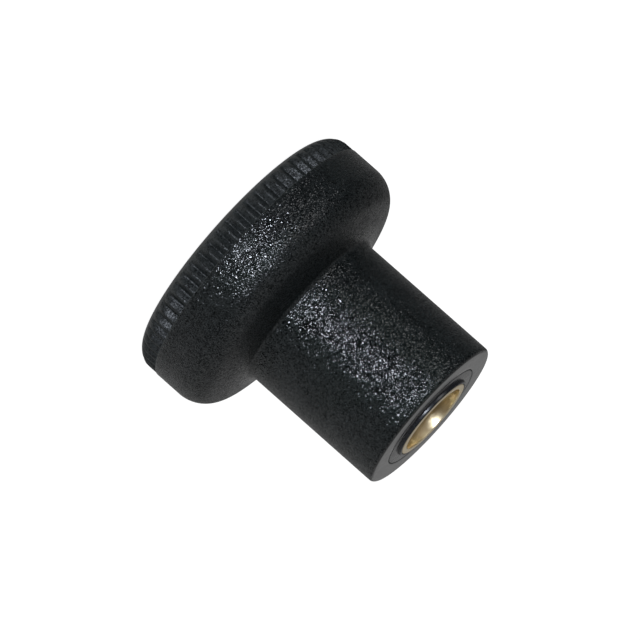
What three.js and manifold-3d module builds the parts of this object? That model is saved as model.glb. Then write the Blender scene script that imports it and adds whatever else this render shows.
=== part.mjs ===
// A round grip knob: a knurled head, a smooth hub, and a brass M6 insert held in the hub.
//
// Millimetres. The origin is the centre of the flat outer face of the head, which the knob
// stands on, and +Z runs along the thread, out through the open end of the hub.
//
// Four pieces come apart on a bench: the body, the cap that closes its cored head, the
// plastic sleeve in its hub, and the threaded insert in the sleeve.

import * as THREE from 'three';
import { mergeVertices } from 'three/addons/utils/BufferGeometryUtils.js';
import Module from 'manifold-3d';

const wasm = await Module();
wasm.setup();

// --- driving dimensions -------------------------------------------------------------

const HEAD_RADIUS = 12.5;
const HUB_RADIUS = 7.33;
const HUB_END_Z = 22.2; // plane of the hub's open end
const COLLAR_HEIGHT = 0.3; // the sleeve's collar and the insert stand proud of that plane

const THREAD_RADIUS = 3; // M6 x 1, right-handed
const THREAD_PITCH = 1;
const THREAD_RIDGE = 0.541 * THREAD_PITCH; // height of an ISO metric internal thread

const FIT = 0.05; // clearance between neighbouring pieces

// --- head -----------------------------------------------------------------------------

const FACE_EDGE_RADIUS = 1.7; // round edge between the outer face and the rim
const RIM_TOP_Z = 4.95; // where the straight rim ends and the rounded shoulder starts
const SHOULDER_WIDTH = 2.55;
const SHOULDER_HEIGHT = 2.75;
const UNDERSIDE_SLOPE = 0.28; // the underside rises this much per millimetre towards the hub
const HUB_FILLET = 0.5;
const HUB_EDGE_RADIUS = 0.35;

const KNURL_TEETH = 66;
const KNURL_TOP_Z = 2.43;
const KNURL_CREST_RADIUS = HEAD_RADIUS - 0.04;
const KNURL_DEPTH = 0.45;
const KNURL_CREST_SHARE = 0.16; // flat share of one tooth pitch at the crest
const KNURL_ROOT_SHARE = 0.08; // and at the root

// --- hollow side of the head ------------------------------------------------------------

const CAP_RADIUS = 9.6;
const CAP_RECESS = 0.2; // the cap lies this far inside the rim that the knob stands on
const CAP_SEAT_Z = 1.4;
const CAP_DISH_RADIUS = 7.6;
const CAP_DISH_DEPTH = 0.25;
const CAP_BEVEL = 0.25;
const SPIGOT_RADIUS = 3.4; // the cap's tube, pressed into the body's core recess
const SPIGOT_WALL = 1;
const SPIGOT_END_Z = 4.4;
const CORE_RECESS_CEILING_Z = 5.2;

const POCKET_COUNT = 6;
const POCKET_INNER_RADIUS = 5.9;
const POCKET_OUTER_RADIUS = 9;
const POCKET_CEILING_Z = 6;
const WEB_THICKNESS = 1.2; // radial webs left between the pockets

// --- sleeve and insert --------------------------------------------------------------------

const SLEEVE_RADIUS = 5.13;
const SLEEVE_BOTTOM_Z = 6.7;
const COLLAR_BASE_RADIUS = 4.11;
const COLLAR_TOP_RADIUS = 3.94;
const KEY_COUNT = 4; // keys on the sleeve that stop it turning in the body
const KEY_WIDTH = 1.2;
const KEY_REACH = 0.7; // beyond the sleeve's own radius
const KEY_TOP_Z = 14;
const KEY_CLEARANCE = 0.1;
const KEY_ROOT = 0.5; // how far a key reaches into the sleeve's wall, to join it

const INSERT_RADIUS = 3.83;
const INSERT_LENGTH = 14;
const INSERT_TOP_Z = HUB_END_Z + COLLAR_HEIGHT;
const INSERT_BOTTOM_Z = INSERT_TOP_Z - INSERT_LENGTH;
const INSERT_CORE_RADIUS = 3.5; // under the knurled bands, and in the groove between them
const INSERT_RIM_BEVEL = 0.05;
const INSERT_HEAD_HEIGHT = 2;
const BAND_HEIGHT = 4; // each of the insert's two knurled bands
const BAND_GAP = 1.5; // the groove between them
const BAND_TEETH = 24;
const BAND_DEPTH = 0.25;
const COUNTERBORE_RADIUS = 3.26; // plain bore at the mouth, with a 90 degree cone to the thread
const COUNTERBORE_DEPTH = 1.3;
const COUNTERBORE_BEVEL = 0.06;
const THREAD_DEPTH = 11; // from the insert's face

// --- roundness of the turned shapes -----------------------------------------------------------

const BODY_SEGMENTS = KNURL_TEETH;
const INNER_SEGMENTS = 36;
const THREAD_SEGMENTS = 24;
const LARGE_ARC_STEPS = 6;
const SMALL_ARC_STEPS = 3;

// --- materials ----------------------------------------------------------------------------------

const texturedPlastic = new THREE.MeshStandardMaterial({
  color: 0x1b1c1e, roughness: 0.55, metalness: 0,
});
const smoothPlastic = new THREE.MeshStandardMaterial({
  color: 0x1f2022, roughness: 0.35, metalness: 0,
});
const capPlastic = new THREE.MeshStandardMaterial({
  color: 0x222325, roughness: 0.45, metalness: 0,
});
const brass = new THREE.MeshStandardMaterial({
  color: 0xb9995a, roughness: 0.28, metalness: 1,
});

// --- helpers ------------------------------------------------------------------------------------

const point = (radius, z) => new THREE.Vector2(radius, z);

// Points on an ellipse arc in the half plane of radius and height, both ends included.
function arc(centreRadius, centreZ, width, height, fromAngle, toAngle, steps) {
  const points = [];
  for (let i = 0; i <= steps; i += 1) {
    const angle = fromAngle + ((toAngle - fromAngle) * i) / steps;
    points.push(point(centreRadius + width * Math.cos(angle), centreZ + height * Math.sin(angle)));
  }
  return points;
}

// A solid from a closed geometry: shared corners are merged and empty triangles dropped.
function solidFrom(geometry) {
  geometry.deleteAttribute('normal');
  geometry.deleteAttribute('uv');
  const merged = mergeVertices(geometry);
  const corners = merged.index.array;
  const kept = [];
  for (let i = 0; i < corners.length; i += 3) {
    const [a, b, c] = [corners[i], corners[i + 1], corners[i + 2]];
    if (a !== b && b !== c && c !== a) kept.push(a, b, c);
  }
  return new wasm.Manifold(new wasm.Mesh({
    numProp: 3,
    vertProperties: new Float32Array(merged.attributes.position.array),
    triVerts: new Uint32Array(kept),
  }));
}

// A turned solid. The profile runs up the outside, from the axis back to the axis.
function turned(profile, segments) {
  const geometry = new THREE.LatheGeometry(profile, segments);
  geometry.rotateX(Math.PI / 2);
  return solidFrom(geometry);
}

// A straight solid on an outline seen from +Z.
function prism(outline, bottomZ, topZ) {
  const geometry = new THREE.ExtrudeGeometry(outline, {
    depth: topZ - bottomZ, bevelEnabled: false, steps: 1,
  });
  geometry.translate(0, 0, bottomZ);
  return solidFrom(geometry);
}

const polar = (radius, angle) => new THREE.Vector2(radius * Math.cos(angle), radius * Math.sin(angle));

// An outline with straight-sided teeth, flat at their crests and roots.
function toothedOutline(crestRadius, rootRadius, teeth, crestShare, rootShare) {
  const pitch = (2 * Math.PI) / teeth;
  const halfCrest = (crestShare * pitch) / 2;
  const halfRoot = (rootShare * pitch) / 2;
  const points = [];
  for (let i = 0; i < teeth; i += 1) {
    const crest = i * pitch;
    const root = crest + pitch / 2;
    points.push(polar(crestRadius, crest - halfCrest), polar(crestRadius, crest + halfCrest));
    points.push(polar(rootRadius, root - halfRoot), polar(rootRadius, root + halfRoot));
  }
  return points;
}

function meshOf(name, solid, material) {
  const { vertProperties, triVerts } = solid.getMesh();
  const geometry = new THREE.BufferGeometry();
  geometry.setAttribute('position', new THREE.BufferAttribute(new Float32Array(vertProperties), 3));
  geometry.setIndex(new THREE.BufferAttribute(new Uint32Array(triVerts), 1));
  geometry.computeVertexNormals();
  const mesh = new THREE.Mesh(geometry, material);
  mesh.name = name;
  return mesh;
}

// --- body ---------------------------------------------------------------------------------------

function bodyProfile() {
  // the shoulder's curve ends where it is as steep as the underside
  const endAngle = Math.atan2(SHOULDER_HEIGHT, SHOULDER_WIDTH * UNDERSIDE_SLOPE);
  const shoulder = arc(
    HEAD_RADIUS - SHOULDER_WIDTH, RIM_TOP_Z, SHOULDER_WIDTH, SHOULDER_HEIGHT,
    0, endAngle, LARGE_ARC_STEPS,
  );
  const shoulderEnd = shoulder[shoulder.length - 1];
  // the fillet touches the underside's cone and the hub's wall
  const filletCentre = HUB_RADIUS + HUB_FILLET;
  const undersideZ = shoulderEnd.y + (shoulderEnd.x - filletCentre) * UNDERSIDE_SLOPE;
  const fillet = arc(
    filletCentre, undersideZ + HUB_FILLET * Math.hypot(1, UNDERSIDE_SLOPE), HUB_FILLET, HUB_FILLET,
    -Math.PI / 2 - Math.atan(UNDERSIDE_SLOPE), -Math.PI, SMALL_ARC_STEPS,
  );
  const sleeveBore = SLEEVE_RADIUS + FIT;
  return [
    point(0, CORE_RECESS_CEILING_Z),
    point(SPIGOT_RADIUS + FIT, CORE_RECESS_CEILING_Z),
    point(SPIGOT_RADIUS + FIT, CAP_SEAT_Z),
    point(CAP_RADIUS + FIT, CAP_SEAT_Z),
    point(CAP_RADIUS + FIT, CAP_RECESS / 2),
    point(CAP_RADIUS + FIT + CAP_RECESS / 2, 0),
    ...arc(
      HEAD_RADIUS - FACE_EDGE_RADIUS, FACE_EDGE_RADIUS, FACE_EDGE_RADIUS, FACE_EDGE_RADIUS,
      -Math.PI / 2, 0, LARGE_ARC_STEPS,
    ),
    ...shoulder,
    ...fillet,
    ...arc(
      HUB_RADIUS - HUB_EDGE_RADIUS, HUB_END_Z - HUB_EDGE_RADIUS, HUB_EDGE_RADIUS, HUB_EDGE_RADIUS,
      0, Math.PI / 2, SMALL_ARC_STEPS,
    ),
    point(sleeveBore, HUB_END_Z),
    point(sleeveBore, SLEEVE_BOTTOM_Z - FIT),
    point(0, SLEEVE_BOTTOM_Z - FIT),
  ];
}

// A ring around the rim whose bore has the shape of the knurl, to be cut away.
function knurlCutter() {
  const margin = 2; // the cutter reaches this far past the rim and the face
  const outside = [];
  for (let i = 0; i < KNURL_TEETH; i += 1) {
    outside.push(polar(HEAD_RADIUS + margin, (2 * Math.PI * i) / KNURL_TEETH));
  }
  const ring = new THREE.Shape(outside);
  ring.holes.push(new THREE.Path(toothedOutline(
    KNURL_CREST_RADIUS, KNURL_CREST_RADIUS - KNURL_DEPTH, KNURL_TEETH,
    KNURL_CREST_SHARE, KNURL_ROOT_SHARE,
  )));
  return prism(ring, -margin, KNURL_TOP_Z);
}

// One pocket of the cored head, between two webs with parallel sides.
function pocket(index) {
  const middle = ((index + 0.5) * 2 * Math.PI) / POCKET_COUNT;
  const halfAngle = (radius) => Math.PI / POCKET_COUNT - Math.asin(WEB_THICKNESS / 2 / radius);
  const outline = [];
  for (let i = 0; i <= LARGE_ARC_STEPS; i += 1) {
    const share = (2 * i) / LARGE_ARC_STEPS - 1;
    outline.push(polar(POCKET_OUTER_RADIUS, middle + share * halfAngle(POCKET_OUTER_RADIUS)));
  }
  for (let i = LARGE_ARC_STEPS; i >= 0; i -= 1) {
    const share = (2 * i) / LARGE_ARC_STEPS - 1;
    outline.push(polar(POCKET_INNER_RADIUS, middle + share * halfAngle(POCKET_INNER_RADIUS)));
  }
  const bottomZ = CAP_SEAT_Z / 2; // in the open recess below the pocket's mouth
  return prism(new THREE.Shape(outline), bottomZ, POCKET_CEILING_Z);
}

// A key along the sleeve, or with a clearance the keyway that takes it.
function key(index, clearance) {
  const half = KEY_WIDTH / 2 + clearance;
  const inner = SLEEVE_RADIUS - KEY_ROOT;
  const outer = SLEEVE_RADIUS + KEY_REACH + clearance;
  const centre = new THREE.Vector2(0, 0);
  const angle = (2 * Math.PI * (index + 0.5)) / KEY_COUNT;
  const corners = [point(inner, -half), point(outer, -half), point(outer, half), point(inner, half)];
  const outline = new THREE.Shape(corners.map((corner) => corner.rotateAround(centre, angle)));
  const bottomZ = clearance ? SLEEVE_BOTTOM_Z - FIT : SLEEVE_BOTTOM_Z;
  return prism(outline, bottomZ, KEY_TOP_Z + clearance);
}

function knobBody() {
  let solid = turned(bodyProfile(), BODY_SEGMENTS).subtract(knurlCutter());
  for (let i = 0; i < POCKET_COUNT; i += 1) solid = solid.subtract(pocket(i));
  for (let i = 0; i < KEY_COUNT; i += 1) solid = solid.subtract(key(i, KEY_CLEARANCE));
  return solid;
}

// --- cap ----------------------------------------------------------------------------------------

function faceCap() {
  const backZ = CAP_SEAT_Z - FIT;
  const spigotBore = SPIGOT_RADIUS - SPIGOT_WALL;
  return turned([
    point(0, CAP_RECESS + CAP_DISH_DEPTH),
    point(CAP_DISH_RADIUS, CAP_RECESS + CAP_DISH_DEPTH),
    point(CAP_DISH_RADIUS + CAP_DISH_DEPTH, CAP_RECESS),
    point(CAP_RADIUS - CAP_BEVEL, CAP_RECESS),
    point(CAP_RADIUS, CAP_RECESS + CAP_BEVEL),
    point(CAP_RADIUS, backZ),
    point(SPIGOT_RADIUS, backZ),
    point(SPIGOT_RADIUS, SPIGOT_END_Z - CAP_BEVEL),
    point(SPIGOT_RADIUS - CAP_BEVEL, SPIGOT_END_Z),
    point(spigotBore, SPIGOT_END_Z),
    point(spigotBore, backZ),
    point(0, backZ),
  ], INNER_SEGMENTS);
}

// --- sleeve -------------------------------------------------------------------------------------

// Heights of the insert's groove, which the sleeve's inner ring fills.
const grooveTopZ = INSERT_TOP_Z - INSERT_HEAD_HEIGHT - BAND_HEIGHT;
const grooveBottomZ = grooveTopZ - BAND_GAP;

function insertSleeve() {
  const bore = INSERT_RADIUS + FIT;
  const ringBore = INSERT_CORE_RADIUS + FIT;
  const floorZ = INSERT_BOTTOM_Z - FIT;
  let solid = turned([
    point(0, SLEEVE_BOTTOM_Z),
    point(SLEEVE_RADIUS, SLEEVE_BOTTOM_Z),
    point(SLEEVE_RADIUS, HUB_END_Z),
    point(COLLAR_BASE_RADIUS, HUB_END_Z),
    point(COLLAR_TOP_RADIUS, HUB_END_Z + COLLAR_HEIGHT),
    point(bore, HUB_END_Z + COLLAR_HEIGHT),
    point(bore, grooveTopZ - FIT),
    point(ringBore, grooveTopZ - FIT),
    point(ringBore, grooveBottomZ + FIT),
    point(bore, grooveBottomZ + FIT),
    point(bore, floorZ),
    point(0, floorZ),
  ], INNER_SEGMENTS);
  for (let i = 0; i < KEY_COUNT; i += 1) solid = solid.add(key(i, 0));
  return solid;
}

// --- insert -------------------------------------------------------------------------------------

// The shape of the screw: a plug with a helical ridge, as long as the threaded hole.
// Its rows follow the helix, so one turn ahead is one pitch, or four rows, higher.
function threadPlug() {
  const crestRadius = THREAD_RADIUS - THREAD_RIDGE;
  const rootFlat = THREAD_PITCH / 8;
  const crestFlat = THREAD_PITCH / 4;
  const flank = (THREAD_PITCH - rootFlat - crestFlat) / 2;
  const rowsPerTurn = 4;
  const turns = Math.round(THREAD_DEPTH / THREAD_PITCH);
  const rows = rowsPerTurn * turns;
  const bottomZ = INSERT_TOP_Z - THREAD_DEPTH;
  const drillTip = crestRadius / 2;
  const offsets = [0, crestFlat, crestFlat + flank, crestFlat + flank + rootFlat];
  const radii = [crestRadius, crestRadius, THREAD_RADIUS, THREAD_RADIUS];

  const positions = [];
  const index = (column, row) => column * (rows + 1) + row;
  for (let column = 0; column < THREAD_SEGMENTS; column += 1) {
    const angle = (2 * Math.PI * column) / THREAD_SEGMENTS;
    const rise = (THREAD_PITCH * column) / THREAD_SEGMENTS;
    for (let row = 0; row <= rows; row += 1) {
      const turn = Math.floor(row / rowsPerTurn);
      const step = row % rowsPerTurn;
      const { x, y } = polar(radii[step], angle);
      positions.push(x, y, bottomZ + rise + turn * THREAD_PITCH + offsets[step]);
    }
  }
  const bottom = positions.length / 3;
  positions.push(0, 0, bottomZ - drillTip);
  const top = bottom + 1;
  positions.push(0, 0, bottomZ + (turns + 1) * THREAD_PITCH);

  const triangles = [];
  const last = THREAD_SEGMENTS - 1;
  for (let column = 0; column < last; column += 1) {
    for (let row = 0; row < rows; row += 1) {
      const [a, b] = [index(column, row), index(column + 1, row)];
      triangles.push(a, b, b + 1, a, b + 1, a + 1);
    }
    triangles.push(bottom, index(column + 1, 0), index(column, 0));
    triangles.push(top, index(column, rows), index(column + 1, rows));
  }
  // the last column meets the first one a turn higher
  for (let row = 0; row < rows - rowsPerTurn; row += 1) {
    const [a, b] = [index(last, row), index(0, row + rowsPerTurn)];
    triangles.push(a, b, b + 1, a, b + 1, a + 1);
  }
  triangles.push(bottom, index(0, rowsPerTurn), index(last, 0));
  triangles.push(top, index(last, rows - rowsPerTurn), index(0, rows));
  // the steps left open at the two ends of the helix
  for (let row = 0; row < rowsPerTurn; row += 1) {
    const highRow = rows - rowsPerTurn + row;
    triangles.push(bottom, index(0, row), index(0, row + 1));
    triangles.push(top, index(last, highRow + 1), index(last, highRow));
  }

  const geometry = new THREE.BufferGeometry();
  geometry.setAttribute('position', new THREE.Float32BufferAttribute(positions, 3));
  geometry.setIndex(triangles);
  return solidFrom(geometry);
}

function threadedInsert() {
  const headBottomZ = INSERT_TOP_Z - INSERT_HEAD_HEIGHT;
  const counterboreFloorZ = INSERT_TOP_Z - COUNTERBORE_DEPTH;
  let solid = turned([
    point(0, INSERT_BOTTOM_Z),
    point(INSERT_CORE_RADIUS, INSERT_BOTTOM_Z),
    point(INSERT_CORE_RADIUS, headBottomZ),
    point(INSERT_RADIUS, headBottomZ),
    point(INSERT_RADIUS, INSERT_TOP_Z - INSERT_RIM_BEVEL),
    point(INSERT_RADIUS - INSERT_RIM_BEVEL, INSERT_TOP_Z),
    point(COUNTERBORE_RADIUS + COUNTERBORE_BEVEL, INSERT_TOP_Z),
    point(COUNTERBORE_RADIUS, INSERT_TOP_Z - COUNTERBORE_BEVEL),
    point(COUNTERBORE_RADIUS, counterboreFloorZ),
    point(0, counterboreFloorZ - COUNTERBORE_RADIUS),
  ], INNER_SEGMENTS);
  const teeth = new THREE.Shape(toothedOutline(
    INSERT_RADIUS, INSERT_RADIUS - BAND_DEPTH, BAND_TEETH, KNURL_CREST_SHARE, KNURL_CREST_SHARE,
  ));
  for (const bandTopZ of [headBottomZ, grooveBottomZ]) {
    solid = solid.add(prism(teeth, bandTopZ - BAND_HEIGHT, bandTopZ));
  }
  return solid.subtract(threadPlug());
}

// --- assembly -----------------------------------------------------------------------------------

const knob = new THREE.Group();
knob.name = 'knurled_grip_knob';
knob.add(
  meshOf('knob_body', knobBody(), texturedPlastic),
  meshOf('face_cap', faceCap(), capPlastic),
  meshOf('insert_sleeve', insertSleeve(), smoothPlastic),
  meshOf('threaded_insert', threadedInsert(), brass),
);

export default knob;
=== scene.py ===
"""The finished look of a round grip knob: knurled black plastic with a brass insert.

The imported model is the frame. Its four nodes are replaced here by fine meshes of the same
size, in the same places. Profiles are in millimetres and meshes in metres, with +Z along the
thread and the head's flat face on the floor at z = 0.
"""

import math

import bpy
from mathutils import Matrix, Vector


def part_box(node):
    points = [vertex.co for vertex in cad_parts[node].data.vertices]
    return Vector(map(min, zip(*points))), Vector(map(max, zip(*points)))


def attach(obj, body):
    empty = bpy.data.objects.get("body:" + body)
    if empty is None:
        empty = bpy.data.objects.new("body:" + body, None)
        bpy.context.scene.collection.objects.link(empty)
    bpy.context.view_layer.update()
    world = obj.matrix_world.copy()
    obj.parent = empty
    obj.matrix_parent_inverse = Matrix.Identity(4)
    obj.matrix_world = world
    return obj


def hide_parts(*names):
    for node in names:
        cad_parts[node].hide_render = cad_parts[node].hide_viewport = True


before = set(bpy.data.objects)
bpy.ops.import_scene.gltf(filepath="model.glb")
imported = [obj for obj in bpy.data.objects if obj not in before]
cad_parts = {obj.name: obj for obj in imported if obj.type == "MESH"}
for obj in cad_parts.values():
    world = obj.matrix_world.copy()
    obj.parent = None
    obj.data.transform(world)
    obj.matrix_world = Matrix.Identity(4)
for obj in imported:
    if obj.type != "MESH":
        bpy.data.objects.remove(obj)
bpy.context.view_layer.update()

MM = 0.001

# --- sizes, in millimetres, from the frame ---------------------------------------------------


def top_of(node):
    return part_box(node)[1][2] / MM


def bottom_of(node):
    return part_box(node)[0][2] / MM


def radius_of(node):
    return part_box(node)[1][1] / MM


HEAD_RADIUS = radius_of("knob_body")
HUB_END_Z = top_of("knob_body")
CAP_RADIUS = radius_of("face_cap")
CAP_RECESS = bottom_of("face_cap")
SPIGOT_END_Z = top_of("face_cap")
SLEEVE_BOTTOM_Z = bottom_of("insert_sleeve")
INSERT_RADIUS = radius_of("threaded_insert")
INSERT_TOP_Z = top_of("threaded_insert")
INSERT_BOTTOM_Z = bottom_of("threaded_insert")

# --- sizes that the frame's boxes don't give, in millimetres -------------------------------------

FIT = 0.05  # gap between pieces
HUB_RADIUS = 7.33
FACE_EDGE_RADIUS = 1.7
RIM_TOP_Z = 4.95
SHOULDER_WIDTH = 2.55
SHOULDER_HEIGHT = 2.75
UNDERSIDE_SLOPE = 0.28  # rise towards the hub, for each millimetre
UNDERSIDE_Z = RIM_TOP_Z + SHOULDER_HEIGHT + UNDERSIDE_SLOPE  # a millimetre in from the shoulder
HUB_FILLET = 0.5
HUB_EDGE_RADIUS = 0.35

KNURL_TEETH = 66
KNURL_TOP_Z = 2.43
KNURL_CREST_RADIUS = HEAD_RADIUS - 0.04
KNURL_DEPTH = 0.45
KNURL_CREST_SHARE = 0.16  # flat share of one tooth pitch at the crest
KNURL_ROOT_SHARE = 0.08  # and at the root
KNURL_SOFTNESS = 0.08  # rounding of the teeth's edges, as a share of a flank
KNURL_BLEND = 0.015  # rounding where the teeth meet the face's rounded edge
KNURL_LIP = 0.06  # radius of the body's edge over the knurl

CAP_SEAT_Z = 1.4
CAP_SEAT_EDGE = 0.1
CAP_EDGE = 0.2
CAP_DISH_RADIUS = 7.6
CAP_DISH_DEPTH = 0.25
CAP_DISH_EDGE = 0.15
SPIGOT_RADIUS = 3.4
SPIGOT_WALL = 1
CORE_RECESS_CEILING_Z = 5.2

SLEEVE_RADIUS = 5.13
COLLAR_RADIUS = 4.11
COLLAR_FOOT = 0.06
COLLAR_CROWN = 0.12

INSERT_CORE_RADIUS = 3.5
INSERT_HEAD_HEIGHT = 2
INSERT_RIM = 0.06
BAND_HEIGHT = 4
BAND_GAP = 1.5
BAND_TEETH = 24
BAND_DEPTH = 0.25
COUNTERBORE_RADIUS = 3.26
COUNTERBORE_DEPTH = 1.3
THREAD_RADIUS = 3
THREAD_PITCH = 1
THREAD_DEPTH = 11
THREAD_RIDGE = 0.541  # height of the ridges, for a pitch of 1

SEAM_EDGE = 0.08  # radius of the edges on both sides of the seam round the sleeve

ROUND_STEPS = 192  # flats round a turned piece
THREAD_STEPS = 96
SHARP_ANGLE = math.radians(32)  # edges that turn further than this look sharp
QUARTER = math.pi / 2

# --- mesh helpers --------------------------------------------------------------------------------


def arc(centre_r, centre_z, width, height, start, end, steps):
    """Points on an ellipse arc in the half plane of radius and height, both ends included."""
    points = []
    for i in range(steps + 1):
        angle = start + (end - start) * i / steps
        points.append((centre_r + width * math.cos(angle), centre_z + height * math.sin(angle)))
    return points


def line(start, end, steps):
    """Points from start to end, both included."""
    points = []
    for i in range(steps + 1):
        share = i / steps
        points.append(tuple(a + (b - a) * share for a, b in zip(start, end)))
    return points


def even_angles(count):
    return [2 * math.pi * i / count for i in range(count)]


def ring(radius, z, angles):
    """A ring of points in millimetres; a radius of 0 gives the single point on the axis."""
    if radius == 0:
        return [(0.0, 0.0, z)]
    return [(radius * math.cos(a), radius * math.sin(a), z) for a in angles]


def bridge(low, high):
    """Faces between two rings of vertex numbers, the lower one first. One ring may be a single
    point, or have a whole number of times the other's points."""
    count = min(len(low), len(high))
    if count == 1:
        count = max(len(low), len(high))
    faces = []
    for i in range(count):
        sides = []
        for numbers in (low, high):
            step = len(numbers) // count
            side = [numbers[k % len(numbers)] for k in range(i * step, (i + 1) * step + 1)]
            sides.append(side if step else numbers)
        faces.append(sides[0] + sides[1][::-1])
    return faces


def mesh_from_rings(name, rings):
    """A closed mesh from rings that run up its outside, from the axis back to the axis."""
    points, numbers, faces = [], [], []
    for this_ring in rings:
        numbers.append(list(range(len(points), len(points) + len(this_ring))))
        points.extend(Vector(p) * MM for p in this_ring)
    for low, high in zip(numbers, numbers[1:]):
        faces.extend(bridge(low, high))
    mesh = bpy.data.meshes.new(name)
    mesh.from_pydata(points, [], faces)
    mesh.validate()
    mesh.shade_smooth()
    mesh.set_sharp_from_angle(angle=SHARP_ANGLE)
    piece = bpy.data.objects.new(name, mesh)
    bpy.context.scene.collection.objects.link(piece)
    return piece


def turned_rings(profile, angles):
    return [ring(r, z, angles) for r, z in profile]


# --- body ----------------------------------------------------------------------------------------

# Places of the fine columns round one tooth, as shares of a pitch from the crest's middle.
# They are close together where the tooth turns a corner.
HALF_TOOTH = [0, 0.055, 0.08, 0.105, 0.17, 0.28, 0.39, 0.44, 0.475]
TOOTH = HALF_TOOTH + [0.5] + [1 - share for share in HALF_TOOTH[:0:-1]]
COARSE_STEP = 3  # every third fine column runs on over the plain part of the body


def knurl_angles():
    pitch = 2 * math.pi / KNURL_TEETH
    return [(tooth + share) * pitch for tooth in range(KNURL_TEETH) for share in TOOTH]


def soft_positive(value, softness):
    """value where it is positive and 0 where it isn't, with a rounded corner between."""
    return (value + math.hypot(value, softness)) / 2


def way_into_groove(angle):
    """0 on a tooth's flat crest and 1 at the narrow root, with straight flanks between."""
    share = abs((angle * KNURL_TEETH / (2 * math.pi) + 0.5) % 1 - 0.5)
    crest_edge = KNURL_CREST_SHARE / 2
    flank = 0.5 - KNURL_ROOT_SHARE / 2 - crest_edge
    way_down = (share - crest_edge) / flank
    return soft_positive(way_down, KNURL_SOFTNESS) - soft_positive(way_down - 1, KNURL_SOFTNESS)


def knurled_ring(radius, z, angles):
    """The body's ring at this radius with the knurl cut into it. The roots keep one distance from
    the axis, so the teeth grow out of the rounded edge of the face."""
    crest = radius - soft_positive(radius - KNURL_CREST_RADIUS, KNURL_BLEND)
    height = soft_positive(crest - KNURL_CREST_RADIUS + KNURL_DEPTH, KNURL_BLEND)
    points = []
    for angle in angles:
        r = crest - height * way_into_groove(angle)
        points.append((r * math.cos(angle), r * math.sin(angle), z))
    return points


def shoulder_profile():
    """The rounded shoulder, the underside, and the fillet into the hub."""
    end = math.atan2(SHOULDER_HEIGHT, SHOULDER_WIDTH * UNDERSIDE_SLOPE)
    shoulder = arc(
        HEAD_RADIUS - SHOULDER_WIDTH, RIM_TOP_Z, SHOULDER_WIDTH, SHOULDER_HEIGHT, 0, end, 26
    )
    shoulder_r, shoulder_z = shoulder[-1]
    centre_r = HUB_RADIUS + HUB_FILLET
    touch_z = shoulder_z + (shoulder_r - centre_r) * UNDERSIDE_SLOPE
    centre_z = touch_z + HUB_FILLET * math.hypot(1, UNDERSIDE_SLOPE)
    start = -QUARTER - math.atan(UNDERSIDE_SLOPE)
    fillet = arc(centre_r, centre_z, HUB_FILLET, HUB_FILLET, start, -math.pi, 10)
    return shoulder + line(shoulder[-1], fillet[0], 5)[1:-1] + fillet


def face_profile():
    """The body's parts inside the cap's recess and spigot hole, and the flat land round the cap."""
    recess = SPIGOT_RADIUS + FIT
    seat = CAP_RADIUS + FIT
    profile = [(0, CORE_RECESS_CEILING_Z), (recess, CORE_RECESS_CEILING_Z), (recess, CAP_SEAT_Z)]
    profile += [(seat, CAP_SEAT_Z)]
    profile += arc(
        seat + CAP_SEAT_EDGE, CAP_SEAT_EDGE, CAP_SEAT_EDGE, CAP_SEAT_EDGE, 2 * QUARTER, 3 * QUARTER, 6
    )
    support = 0.05  # a ring close to the rounded edge keeps the land's shading flat
    return profile + [(HEAD_RADIUS - FACE_EDGE_RADIUS - support, 0)]


def rim_profile():
    """The rounded edge of the face and the knurled part of the rim."""
    profile = arc(
        HEAD_RADIUS - FACE_EDGE_RADIUS, FACE_EDGE_RADIUS,
        FACE_EDGE_RADIUS, FACE_EDGE_RADIUS, -QUARTER, 0, 26,
    )
    return profile + line((HEAD_RADIUS, FACE_EDGE_RADIUS), (HEAD_RADIUS, KNURL_TOP_Z), 4)[1:]


def hub_profile():
    """From the plain part of the rim over the shoulder and the hub to the bore's bottom."""
    bore = SLEEVE_RADIUS + FIT
    profile = arc(HEAD_RADIUS - KNURL_LIP, KNURL_TOP_Z + KNURL_LIP, KNURL_LIP, KNURL_LIP, -QUARTER, 0, 3)
    profile += line(profile[-1], (HEAD_RADIUS, RIM_TOP_Z), 5)[1:-1]
    profile += shoulder_profile()
    edge = arc(
        HUB_RADIUS - HUB_EDGE_RADIUS, HUB_END_Z - HUB_EDGE_RADIUS,
        HUB_EDGE_RADIUS, HUB_EDGE_RADIUS, 0, QUARTER, 10,
    )
    profile += line(profile[-1], edge[0], 12)[1:-1] + edge
    profile += line(edge[-1], (bore + SEAM_EDGE, HUB_END_Z), 4)[1:-1]
    profile += arc(
        bore + SEAM_EDGE, HUB_END_Z - SEAM_EDGE, SEAM_EDGE, SEAM_EDGE, QUARTER, 2 * QUARTER, 6
    )
    return profile + [(bore, SLEEVE_BOTTOM_Z - FIT), (0, SLEEVE_BOTTOM_Z - FIT)]


def body_mesh():
    fine = knurl_angles()
    coarse = fine[::COARSE_STEP]
    rings = turned_rings(face_profile(), coarse)
    rings += [knurled_ring(r, z, fine) for r, z in rim_profile()]
    rings += turned_rings(hub_profile(), coarse)
    return mesh_from_rings("knob_body_shell", rings)


# --- cap -----------------------------------------------------------------------------------------


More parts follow.
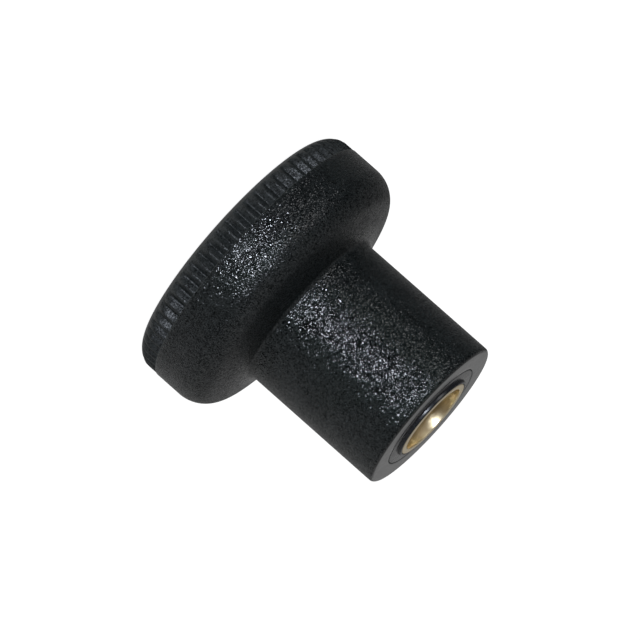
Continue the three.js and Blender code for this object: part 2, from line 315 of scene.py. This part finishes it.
def cap_mesh():
    """The cap, with a shallow dish in its face and a hollow spigot behind."""
    back_z = CAP_SEAT_Z - FIT
    spigot_bore = SPIGOT_RADIUS - SPIGOT_WALL
    dish_z = CAP_RECESS + CAP_DISH_DEPTH
    lip = CAP_SEAT_EDGE
    profile = [(0, dish_z)]
    profile += line((0.5, dish_z), (CAP_DISH_RADIUS - 2 * CAP_DISH_EDGE, dish_z), 6)
    profile += arc(
        CAP_DISH_RADIUS, dish_z - CAP_DISH_EDGE, CAP_DISH_EDGE, CAP_DISH_EDGE, QUARTER, 0, 5
    )
    profile += arc(
        CAP_DISH_RADIUS + CAP_DISH_EDGE + lip, CAP_RECESS + lip, lip, lip, 2 * QUARTER, 3 * QUARTER, 5
    )
    profile += arc(
        CAP_RADIUS - CAP_EDGE, CAP_RECESS + CAP_EDGE, CAP_EDGE, CAP_EDGE, -QUARTER, 0, 8
    )
    profile += [(CAP_RADIUS, back_z), (SPIGOT_RADIUS, back_z)]
    profile += [(SPIGOT_RADIUS, SPIGOT_END_Z - CAP_EDGE), (SPIGOT_RADIUS - CAP_EDGE, SPIGOT_END_Z)]
    profile += [(spigot_bore, SPIGOT_END_Z), (spigot_bore, back_z), (0, back_z)]
    return mesh_from_rings("face_cover", turned_rings(profile, even_angles(ROUND_STEPS)))


# --- sleeve --------------------------------------------------------------------------------------


def sleeve_mesh():
    """The sleeve with its collar, and the ring inside that fills the groove of the insert."""
    bore = INSERT_RADIUS + FIT
    ring_bore = INSERT_CORE_RADIUS + FIT
    floor_z = INSERT_BOTTOM_Z - FIT
    groove_top_z = INSERT_TOP_Z - INSERT_HEAD_HEIGHT - BAND_HEIGHT - FIT
    groove_bottom_z = groove_top_z - BAND_GAP + 2 * FIT
    dip = 0.02  # of the collar, below the brass and inside its own foot
    profile = [(0, SLEEVE_BOTTOM_Z), (SLEEVE_RADIUS, SLEEVE_BOTTOM_Z)]
    profile += arc(
        SLEEVE_RADIUS - SEAM_EDGE, HUB_END_Z - SEAM_EDGE, SEAM_EDGE, SEAM_EDGE, 0, QUARTER, 6
    )
    profile += arc(
        COLLAR_RADIUS + COLLAR_FOOT, HUB_END_Z + COLLAR_FOOT,
        COLLAR_FOOT, COLLAR_FOOT, -QUARTER, -2 * QUARTER, 5,
    )
    profile += arc(
        COLLAR_RADIUS - COLLAR_CROWN - dip, INSERT_TOP_Z - COLLAR_CROWN,
        COLLAR_CROWN, COLLAR_CROWN, 0.2, QUARTER, 7,
    )
    profile += [(bore, INSERT_TOP_Z - dip), (bore, groove_top_z), (ring_bore, groove_top_z)]
    profile += [(ring_bore, groove_bottom_z), (bore, groove_bottom_z), (bore, floor_z), (0, floor_z)]
    return mesh_from_rings("insert_bush", turned_rings(profile, even_angles(ROUND_STEPS)))


# --- insert --------------------------------------------------------------------------------------


def thread_plug():
    """The screw's shape, for cutting the thread: rings that climb one pitch a turn."""
    crest_r = THREAD_RADIUS - THREAD_RIDGE * THREAD_PITCH
    root_flat, crest_flat = THREAD_PITCH / 8, THREAD_PITCH / 4
    flank = (THREAD_PITCH - root_flat - crest_flat) / 2
    steps = [
        (crest_r, 0), (crest_r, crest_flat),
        (THREAD_RADIUS, crest_flat + flank), (THREAD_RADIUS, crest_flat + flank + root_flat),
    ]
    per_turn = len(steps)
    turns = round(THREAD_DEPTH / THREAD_PITCH)
    rows = per_turn * turns
    bottom_z = INSERT_TOP_Z - THREAD_DEPTH
    points = []
    for column, angle in enumerate(even_angles(THREAD_STEPS)):
        for row in range(rows + 1):
            radius, offset = steps[row % per_turn]
            z = bottom_z + offset + (row // per_turn + column / THREAD_STEPS) * THREAD_PITCH
            points.append((radius * math.cos(angle), radius * math.sin(angle), z))
    low_point = len(points)
    points.append((0, 0, bottom_z - crest_r / 2))
    high_point = len(points)
    points.append((0, 0, bottom_z + (turns + 1) * THREAD_PITCH))

    def number(column, row):
        return (column % THREAD_STEPS) * (rows + 1) + row

    faces = []
    for column in range(THREAD_STEPS):
        # the last column meets the first one a turn higher
        climb = per_turn if column == THREAD_STEPS - 1 else 0
        for row in range(rows - climb):
            a, b = number(column, row), number(column + 1, row + climb)
            faces.append((a, b, b + 1, a + 1))
        faces.append((low_point, number(column + 1, climb), number(column, 0)))
        faces.append((high_point, number(column, rows - climb), number(column + 1, rows)))
    last = THREAD_STEPS - 1
    for row in range(per_turn):
        high_row = rows - per_turn + row
        faces.append((low_point, number(0, row), number(0, row + 1)))
        faces.append((high_point, number(last, high_row + 1), number(last, high_row)))
    mesh = bpy.data.meshes.new("thread_plug")
    mesh.from_pydata([Vector(p) * MM for p in points], [], faces)
    plug = bpy.data.objects.new("thread_plug", mesh)
    bpy.context.scene.collection.objects.link(plug)
    return plug


def band_ring(radius, z, angles):
    """A ring of the insert's knurled bands: pointed teeth with their crests at radius."""
    points = []
    for angle in angles:
        share = abs((angle * BAND_TEETH / (2 * math.pi) + 0.5) % 1 - 0.5) * 2
        r = radius - BAND_DEPTH * share
        points.append((r * math.cos(angle), r * math.sin(angle), z))
    return points


def cut(piece, tool):
    """Takes tool away from piece, and deletes tool."""
    modifier = piece.modifiers.new("cut", "BOOLEAN")
    modifier.operation = "DIFFERENCE"
    modifier.solver = "EXACT"
    modifier.object = tool
    depsgraph = bpy.context.evaluated_depsgraph_get()
    result = bpy.data.meshes.new_from_object(piece.evaluated_get(depsgraph))
    piece.modifiers.clear()
    piece.data = result
    bpy.data.objects.remove(tool)
    result.shade_smooth()
    result.set_sharp_from_angle(angle=SHARP_ANGLE)


def insert_mesh():
    """The brass insert: two knurled bands, a groove between, a plain head, and the thread."""
    angles = even_angles(ROUND_STEPS)
    head_bottom_z = INSERT_TOP_Z - INSERT_HEAD_HEIGHT
    low_band_top_z = head_bottom_z - BAND_HEIGHT - BAND_GAP
    bore_floor_z = INSERT_TOP_Z - COUNTERBORE_DEPTH
    rim = INSERT_RIM
    rings = [ring(0, INSERT_BOTTOM_Z, angles), ring(INSERT_CORE_RADIUS, INSERT_BOTTOM_Z, angles)]
    for band_top_z in (low_band_top_z, head_bottom_z):
        band_bottom_z = band_top_z - BAND_HEIGHT
        rings.append(ring(INSERT_CORE_RADIUS, band_bottom_z, angles))
        rings.append(band_ring(INSERT_RADIUS, band_bottom_z, angles))
        rings.append(band_ring(INSERT_RADIUS, band_top_z, angles))
        rings.append(ring(INSERT_CORE_RADIUS, band_top_z, angles))
    head = [(INSERT_RADIUS, head_bottom_z)]
    head += arc(INSERT_RADIUS - rim, INSERT_TOP_Z - rim, rim, rim, 0, QUARTER, 6)
    head += arc(COUNTERBORE_RADIUS + rim, INSERT_TOP_Z - rim, rim, rim, QUARTER, 2 * QUARTER, 6)
    # the floor of the plain bore is a 90 degree cone that leads into the thread
    head += [(COUNTERBORE_RADIUS, bore_floor_z), (0, bore_floor_z - COUNTERBORE_RADIUS)]
    rings += turned_rings(head, angles)
    piece = mesh_from_rings("brass_insert", rings)
    cut(piece, thread_plug())
    return piece


# --- materials -----------------------------------------------------------------------------------

PLASTIC_IOR = 1.5
GRAIN_SIZE = 0.15  # millimetres, as are the next three
GRAIN_DEPTH = 0.05
FACET_SIZE = 0.085
LATHE_RING_WIDTH = 0.05
FACET_TILT = 0.4


class Nodes:
    """A node tree under construction, with short calls for its nodes and links."""

    def __init__(self, tree):
        self.tree = tree

    def add(self, kind, **settings):
        node = self.tree.nodes.new(kind)
        for key, value in settings.items():
            setattr(node, key, value)
        return node

    def link(self, source, target):
        self.tree.links.new(source, target)

    def spread(self, value, low, high, from_low=0.3, from_high=0.7):
        """value, between from_low and from_high, spread from low to high."""
        node = self.add("ShaderNodeMapRange")
        node.inputs["From Min"].default_value = from_low
        node.inputs["From Max"].default_value = from_high
        node.inputs["To Min"].default_value = low
        node.inputs["To Max"].default_value = high
        self.link(value, node.inputs["Value"])
        return node.outputs["Result"]

    def combine(self, operation, a, b):
        node = self.add("ShaderNodeMath", operation=operation)
        for value, socket in zip((a, b), node.inputs):
            if isinstance(value, (int, float)):
                socket.default_value = value
            else:
                self.link(value, socket)
        return node.outputs["Value"]

    def vector(self, operation, a, b):
        node = self.add("ShaderNodeVectorMath", operation=operation)
        for value, socket in zip((a, b), node.inputs):
            if isinstance(value, tuple):
                socket.default_value = value
            elif value is not None:
                self.link(value, socket)
        return node

    def height(self, place):
        """The Z part of a place or a direction."""
        node = self.add("ShaderNodeSeparateXYZ")
        self.link(place, node.inputs["Vector"])
        return node.outputs["Z"]


class Material(Nodes):
    """A material under construction, placed by the object's own coordinates."""

    def __init__(self, name):
        self.material = bpy.data.materials.new(name)
        self.material.use_nodes = True
        super().__init__(self.material.node_tree)
        self.shader = self.tree.nodes["Principled BSDF"]
        self.place = self.add("ShaderNodeTexCoord").outputs["Object"]

    def noise(self, size_mm, seed, detail=2):
        """Noise between 0 and 1 whose features are about size_mm across."""
        node = self.add("ShaderNodeTexNoise", noise_dimensions="4D")
        node.inputs["W"].default_value = seed
        node.inputs["Scale"].default_value = 1 / (size_mm * MM)
        node.inputs["Detail"].default_value = detail
        self.link(self.place, node.inputs["Vector"])
        return node.outputs["Fac"]

    def blend_colour(self, share, first, second):
        node = self.add("ShaderNodeMix", data_type="RGBA")
        self.link(share, node.inputs["Factor"])
        node.inputs["A"].default_value = (*first, 1)
        node.inputs["B"].default_value = (*second, 1)
        return node.outputs["Result"]

    def bump(self, height, depth_mm):
        """height, between 0 and 1, stands up to depth_mm from the surface."""
        node = self.add("ShaderNodeBump")
        node.inputs["Strength"].default_value = 1
        node.inputs["Distance"].default_value = depth_mm * MM
        self.link(height, node.inputs["Height"])
        self.link(node.outputs["Normal"], self.shader.inputs["Normal"])
        return node

    def facets(self, size_mm):
        """Small cells size_mm across, each with its own random colour."""
        cells = self.add("ShaderNodeTexVoronoi")
        cells.inputs["Scale"].default_value = 1 / (size_mm * MM)
        self.link(self.place, cells.inputs["Vector"])
        return cells.outputs["Color"]

    def tilt(self, normal, facets, amount):
        """Tilts the normal on each facet its own way, by up to half of amount."""
        tilt = self.vector("SUBTRACT", facets, (0.5, 0.5, 0.5))
        tilt = self.vector("SCALE", tilt.outputs["Vector"], None)
        self.link(amount, tilt.inputs["Scale"])
        tilted = self.vector("ADD", normal, tilt.outputs["Vector"])
        unit = self.vector("NORMALIZE", tilted.outputs["Vector"], None)
        self.link(unit.outputs["Vector"], self.shader.inputs["Normal"])


def textured_plastic():
    """Black moulded plastic with a fine spark-eroded grain, smoother on the knurled rim and on
    the hub's end, where the mould was ground."""
    nodes = Material("textured_black_plastic")
    shader = nodes.shader
    shader.inputs["IOR"].default_value = PLASTIC_IOR
    z = nodes.height(nodes.place)

    def by_height(low, high, low_z, high_z):
        return nodes.spread(z, low, high, low_z * MM, high_z * MM)

    def product(*values):
        result = values[0]
        for value in values[1:]:
            result = nodes.combine("MULTIPLY", result, value)
        return result

    knurl_edge = (KNURL_TOP_Z + 0.03, KNURL_TOP_Z + 0.1)
    coarser_above_knurl = by_height(0.4, 1, *knurl_edge)
    smooth_end = by_height(1, 0.03, HUB_END_Z - 0.12, HUB_END_Z - 0.01)
    grain_amount = product(coarser_above_knurl, smooth_end)
    grain = nodes.noise(GRAIN_SIZE, seed=3, detail=0)
    bump = nodes.bump(product(grain, grain_amount), GRAIN_DEPTH)
    facets = nodes.facets(FACET_SIZE)
    nodes.tilt(bump.outputs["Normal"], facets, product(grain_amount, FACET_TILT))

    # each facet is darker or paler than its neighbours, and its specular level is weaker or stronger, so
    # that the weaker facets paint shade into the grain's pits
    split = nodes.add("ShaderNodeSeparateColor")
    nodes.link(facets, split.inputs["Color"])
    facet_value = split.outputs["Blue"]
    # on the knurled rim this factor makes the plastic duller and makes its colour paler; the paler
    # colour is painted light on the teeth
    duller_knurl_with_painted_light = by_height(1.9, 1, *knurl_edge)
    mottle = nodes.spread(nodes.noise(1.3, seed=7, detail=3), 0.8, 1.2)
    # the colour's share, paler on the knurled rim as painted light
    shade = product(facet_value, mottle, duller_knurl_with_painted_light)
    colour = nodes.blend_colour(shade, (0.001, 0.0015, 0.0015), (0.014, 0.0175, 0.018))
    nodes.link(colour, shader.inputs["Base Color"])
    # painted shade: facets with a low specular level stand for the grain's shaded pits
    painted_pit_shade = product(nodes.combine("SUBTRACT", facet_value, 0.5), grain_amount)
    nodes.link(nodes.spread(painted_pit_shade, 0.05, 0.95, -0.5, 0.5), shader.inputs["Specular IOR Level"])

    # the underside of the head is duller than the rest
    dullness = 1.8
    duller_underside = by_height(1, dullness, RIM_TOP_Z + 1, RIM_TOP_Z + 2.2)
    glossy_hub = by_height(1, 1 / dullness, UNDERSIDE_Z, UNDERSIDE_Z + HUB_FILLET)
    roughness = nodes.spread(nodes.noise(0.5, seed=11), 0.18, 0.24)
    roughness = product(roughness, duller_knurl_with_painted_light, duller_underside, glossy_hub)
    nodes.link(roughness, shader.inputs["Roughness"])
    return nodes.material


def plain_plastic(name, mottle, colours, dulling, roughness, grain, grain_depth_mm):
    """Black plastic without the spark-eroded grain. mottle, dulling and grain each give a noise's
    size in millimetres and its seed; colours and roughness give a range's two ends."""
    nodes = Material(name)
    nodes.shader.inputs["IOR"].default_value = PLASTIC_IOR
    nodes.link(nodes.blend_colour(nodes.noise(*mottle), *colours), nodes.shader.inputs["Base Color"])
    nodes.link(nodes.spread(nodes.noise(*dulling), *roughness), nodes.shader.inputs["Roughness"])
    nodes.bump(nodes.noise(*grain), grain_depth_mm)
    return nodes.material


def smooth_plastic():
    """The same black plastic with a plain satin surface, for the sleeve."""
    return plain_plastic(
        "smooth_black_plastic",
        mottle=(1.1, 5), colours=((0.012, 0.0125, 0.014), (0.018, 0.019, 0.021)),
        dulling=(0.6, 2), roughness=(0.24, 0.31), grain=(0.12, 9), grain_depth_mm=0.004,
    )


def cap_plastic():
    """Black plastic with an even satin grain, for the cap."""
    return plain_plastic(
        "satin_black_plastic",
        mottle=(1.7, 1), colours=((0.014, 0.0145, 0.016), (0.02, 0.021, 0.023)),
        dulling=(0.9, 4), roughness=(0.4, 0.5), grain=(0.18, 6), grain_depth_mm=0.012,
    )


def brass():
    """Turned brass: fine lathe rings, shiny and dull by turns, slightly tarnished in patches."""
    nodes = Material("turned_brass")
    nodes.shader.inputs["Metallic"].default_value = 1
    patches = nodes.noise(0.9, seed=8, detail=3)
    colour = nodes.blend_colour(patches, (0.80, 0.66, 0.42), (0.88, 0.76, 0.52))
    nodes.link(colour, nodes.shader.inputs["Base Color"])
    squeezed = nodes.add("ShaderNodeMapping")
    squeezed.inputs["Scale"].default_value = (0.15, 0.15, 1)
    nodes.link(nodes.place, squeezed.inputs["Vector"])
    lathe = nodes.add("ShaderNodeTexNoise")
    lathe.inputs["Scale"].default_value = 1 / (LATHE_RING_WIDTH * MM)
    nodes.link(squeezed.outputs["Vector"], lathe.inputs["Vector"])
    nodes.link(nodes.spread(lathe.outputs["Fac"], 0.28, 0.4), nodes.shader.inputs["Roughness"])
    nodes.bump(lathe.outputs["Fac"], 0.001)
    return nodes.material


def white_floor():
    """Matt white that glows a little, so that no shadow greys it."""
    nodes = Material("white_floor")
    nodes.shader.inputs["Base Color"].default_value = (0.6, 0.6, 0.6, 1)
    nodes.shader.inputs["Roughness"].default_value = 0.9
    nodes.shader.inputs["Emission Color"].default_value = (1, 1, 1, 1)
    nodes.shader.inputs["Emission Strength"].default_value = FLOOR_GLOW
    return nodes.material


# --- camera, floor and light ---------------------------------------------------------------------

CAMERA_TURN = -0.9  # degrees round the knob from -Y, positive towards +X
CAMERA_ELEVATION = 10.57  # degrees
CAMERA_ROLL = 131.45  # degrees clockwise, so that the hub points to the lower right
CAMERA_DISTANCE = 0.698  # metres
AIM_Z = 9.73  # millimetres up the knob's axis
AIM_SIDE = 0.057  # millimetres from the axis, towards the camera's right before it rolls
PICTURE_WIDTH = 53.53  # millimetres that the picture is wide at the knob
SENSOR_WIDTH = 36  # millimetres

FLOOR_RADIUS = 3000  # millimetres
FLOOR_GLOW = 0.94
ROOM_LEVEL = 0.108  # strength of the room's light straight across
ROOM_SLOPE = (0.128, 0.091, -0.077)  # how it grows towards +X, +Y and +Z
ROOM_BOWL = 0.285  # how much stronger it is straight up and straight down
ROOM_LEAST = 0.01


def direction(turn, elevation):
    """A unit vector; turn 0 is -Y and goes towards +X, in degrees."""
    t, e = math.radians(turn), math.radians(elevation)
    return Vector((math.sin(t) * math.cos(e), -math.cos(t) * math.cos(e), math.sin(e)))


def make_camera():
    back = direction(CAMERA_TURN, CAMERA_ELEVATION)
    side = direction(CAMERA_TURN + 90, 0)
    roll = Matrix.Rotation(math.radians(CAMERA_ROLL), 3, back)
    right, up = roll @ side, roll @ back.cross(side)
    camera_data = bpy.data.cameras.new("camera")
    camera_data.sensor_width = SENSOR_WIDTH
    camera_data.lens = SENSOR_WIDTH * CAMERA_DISTANCE / (PICTURE_WIDTH * MM)
    camera = bpy.data.objects.new("camera", camera_data)
    bpy.context.scene.collection.objects.link(camera)
    turn = Matrix((right, up, back)).transposed()
    aim = Vector((0, 0, AIM_Z)) * MM + side * AIM_SIDE * MM
    camera.matrix_world = Matrix.Translation(aim + back * CAMERA_DISTANCE) @ turn.to_4x4()
    bpy.context.scene.camera = camera


def make_floor():
    """A wide round white floor. It doesn't show in the knob's gloss, where the softer room does."""
    rings = [ring(0, 0, []), ring(FLOOR_RADIUS, 0, even_angles(96))]
    floor = mesh_from_rings("floor", rings)
    floor.data.flip_normals()
    floor.data.materials.append(white_floor())
    floor.visible_glossy = False


def disk_light(name, turn, elevation, distance, size, power, colour=(1, 1, 1)):
    """A round lamp, size metres wide and distance metres from the knob's middle, facing it."""
    light_data = bpy.data.lights.new(name, "AREA")
    light_data.shape = "DISK"
    light_data.size = size
    light_data.energy = power
    light_data.color = colour
    light = bpy.data.objects.new(name, light_data)
    bpy.context.scene.collection.objects.link(light)
    towards = direction(turn, elevation)
    light.location = towards * distance + Vector((0, 0, INSERT_TOP_Z / 2 * MM))
    light.rotation_mode = "QUATERNION"
    light.rotation_quaternion = towards.to_track_quat("Z", "Y")


def make_lights():
    """A small cool key beside the camera, a fill from the left front, and a backdrop behind."""
    cool = (0.93, 1, 1.13)
    disk_light("key", CAMERA_TURN - 2, 6.5, distance=0.6, size=0.08, power=1.9, colour=cool)
    disk_light("fill", CAMERA_TURN - 52, 14, distance=1, size=0.4, power=1.05)
    disk_light("backdrop", CAMERA_TURN + 180, 10, distance=2, size=0.9, power=0.42)


def make_room():
    """Soft pale room light that changes smoothly with direction: stronger from the right, from
    behind the knob, and from straight above and below."""
    world = bpy.data.worlds.new("room")
    bpy.context.scene.world = world
    world.use_nodes = True
    nodes = Nodes(world.node_tree)
    towards = nodes.add("ShaderNodeTexCoord").outputs["Generated"]
    height = nodes.height(towards)
    bowl = nodes.combine("MULTIPLY", nodes.combine("MULTIPLY", height, height), ROOM_BOWL)
    slope = nodes.vector("DOT_PRODUCT", towards, ROOM_SLOPE).outputs["Value"]
    level = nodes.combine("ADD", nodes.combine("ADD", slope, bowl), ROOM_LEVEL)
    level = nodes.combine("MAXIMUM", level, ROOM_LEAST)
    background = world.node_tree.nodes["Background"]
    background.inputs["Color"].default_value = (1, 1, 1, 1)
    nodes.link(level, background.inputs["Strength"])


# --- the scene -----------------------------------------------------------------------------------


def finish_piece(piece, node, material):
    piece.data.materials.clear()
    piece.data.materials.append(material)
    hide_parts(node)
    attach(piece, "root")


make_camera()
make_floor()
make_room()
make_lights()

finish_piece(body_mesh(), "knob_body", textured_plastic())
finish_piece(cap_mesh(), "face_cap", cap_plastic())
finish_piece(sleeve_mesh(), "insert_sleeve", smooth_plastic())
finish_piece(insert_mesh(), "threaded_insert", brass())

bpy.context.scene.view_settings.view_transform = "Standard"
